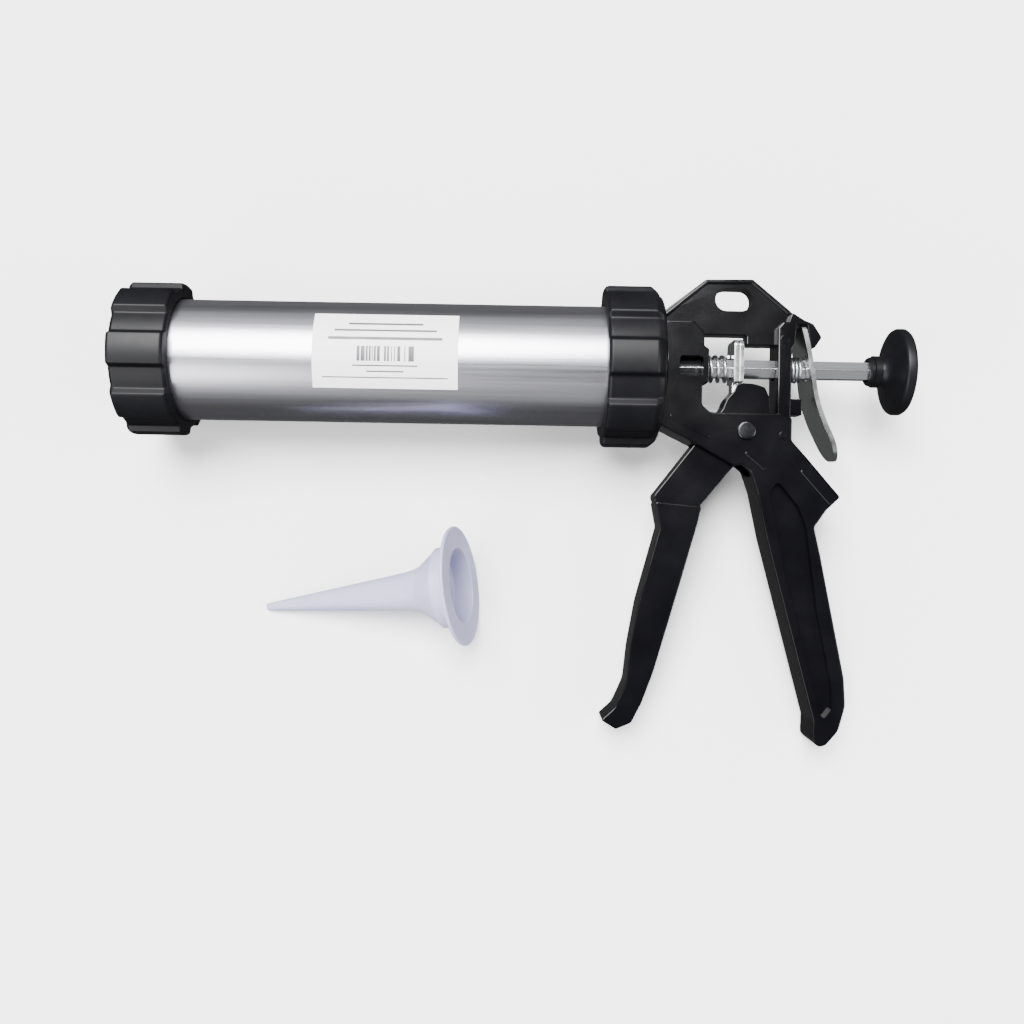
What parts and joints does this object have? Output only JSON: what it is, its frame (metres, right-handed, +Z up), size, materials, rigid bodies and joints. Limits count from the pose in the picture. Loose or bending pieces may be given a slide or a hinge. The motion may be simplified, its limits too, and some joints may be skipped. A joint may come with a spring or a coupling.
{
  "type": "caulking gun",
  "caption": "Closed-barrel caulking gun with a screw cap, pistol grip, trigger drive, thumb release and pull knob, lying on its side beside a loose cone nozzle.",
  "frame": {"origin": "centre of the whole object's box, on the surface that the gun and the nozzle lie on", "axes": "+X back along the barrel towards the knob, +Z up from the surface, +Y from the handle's end towards the barrel. The gun's own mid-plane is rolled 8.8 degrees from level about X, so that its handle rests on the surface"},
  "size_m": [0.3528, 0.2082, 0.0726],
  "materials": {
    "satin_aluminium": "drawn and satin finished",
    "label_paper": "white self-adhesive paper",
    "black_plastic": "injection moulded, semi-gloss",
    "seal_rubber": "matte",
    "black_enamel": "die-cast, glossy black enamel",
    "rod_steel": "drawn bright steel",
    "spring_steel": "zinc plated wire",
    "zinc_plate": "zinc plated pressing",
    "piston_plastic": "moulded",
    "nozzle_plastic": "translucent white, moulded"
  },
  "bodies": {
    "gun": {"frame_casting": "black_enamel", "rod_bush": "rod_steel", "trigger_pin": "rod_steel", "pin_clip": "spring_steel", "drive_spring": "spring_steel", "lever_spring": "spring_steel"},
    "collar": {"rear_collar": "black_plastic"},
    "barrel": {"barrel_tube": "satin_aluminium", "barrel_label": "label_paper"},
    "cap_ring": {"cap_seal": "seal_rubber"},
    "cap": {"front_cap": "black_plastic"},
    "trigger": {"trigger": "black_enamel"},
    "plates": {"drive_plate_front": "zinc_plate", "drive_plate_rear": "zinc_plate"},
    "lever": {"release_lever": "zinc_plate"},
    "rod": {"piston_rod": "rod_steel", "piston_backplate": "zinc_plate", "piston_cup": "piston_plastic", "piston_washer": "zinc_plate", "piston_nut": "zinc_plate", "knob": "black_plastic"},
    "nozzle": {"nozzle": "nozzle_plastic"}
  },
  "joints": [
    {"name": "trigger_squeeze", "type": "hinge", "parent": "gun", "child": "trigger", "pos_m": [0.1008, 0.03565, 0.03193], "axis": [0, -0.1531, 0.9882], "range_deg": [0, 27.5], "stiffness_Nm_per_rad": 1.5, "springref_deg": -14.32},
    {"name": "plates_drive", "type": "slide", "parent": "gun", "child": "plates", "axis": [-1, 0, 0], "range_m": [0, 0.0069], "deforming": ["drive_spring"]},
    {"name": "rod_slide", "type": "slide", "parent": "gun", "child": "rod", "axis": [1, 0, 0], "range_m": [-0.0245, 0.18]},
    {"name": "lever_press", "type": "hinge", "parent": "gun", "child": "lever", "pos_m": [0.1252, 0.08199, 0.03911], "axis": [0, 0.1531, -0.9882], "range_deg": [0, 4], "stiffness_Nm_per_rad": 0.6, "springref_deg": -11.46, "deforming": ["lever_spring"]},
    {"name": "collar_unscrew", "type": "hinge", "parent": "gun", "child": "collar", "pos_m": [0.0562, 0.06381, 0.03629], "axis": [1, 0, 0], "range_deg": [0, 1080]},
    {"name": "barrel_unscrew", "type": "slide", "parent": "gun", "child": "barrel", "axis": [-1, 0, 0], "range_m": [0, 0.0121]},
    {"name": "cap_travel", "type": "slide", "parent": "barrel", "child": "cap_ring", "axis": [-1, 0, 0], "range_m": [0, 0.0121]},
    {"name": "cap_unscrew", "type": "hinge", "parent": "cap_ring", "child": "cap", "pos_m": [-0.1715, 0.06381, 0.03629], "axis": [-1, 0, 0], "range_deg": [0, 1080]},
    {"name": "nozzle_lift", "type": "slide", "parent": "gun", "child": "nozzle", "axis": [0, 0, 1], "range_m": [0, 0.1]}
  ],
  "couplings": [
    {"joint": "plates_drive", "follows": "trigger_squeeze", "m_per_rad": 0.0142},
    {"joint": "barrel_unscrew", "follows": "collar_unscrew", "m_per_rad": 0.00063662},
    {"joint": "cap_travel", "follows": "cap_unscrew", "m_per_rad": 0.00063662}
  ]
}
